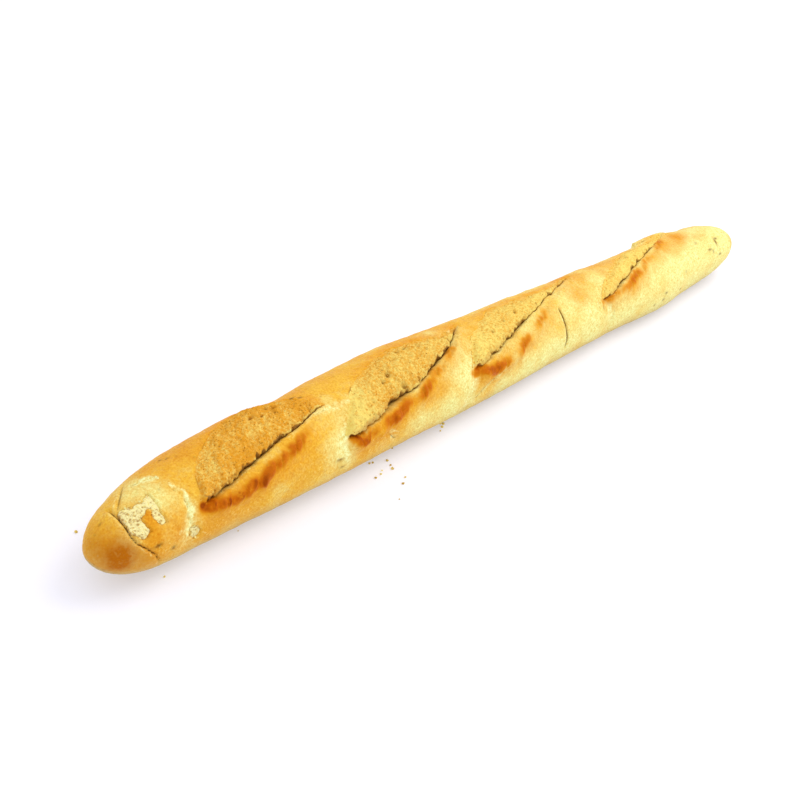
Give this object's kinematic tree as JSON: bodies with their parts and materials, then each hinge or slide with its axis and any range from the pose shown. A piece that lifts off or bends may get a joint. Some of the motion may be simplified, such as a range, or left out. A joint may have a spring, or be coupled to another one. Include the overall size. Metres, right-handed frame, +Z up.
{
  "type": "baguette",
  "caption": "Long slim loaf with a crisp golden crust, slashes opened to rough crumb along its top, a cracked rounded end and a flat underside to lie on.",
  "frame": {"origin": "on the surface the loaf lies on, under the middle of its box", "axes": "+X along the loaf, from the cracked end to the smooth end; +Z up, out of the slashed top; -Y the front, towards the ears of the slashes"},
  "size_m": [0.64, 0.0658, 0.0535],
  "materials": {
    "crust": "dry, matte, golden, with toasted ridges",
    "crumb": "dry, open, torn crumb"
  },
  "bodies": {
    "root": {"loaf": "crust"}
  },
  "joints": []
}
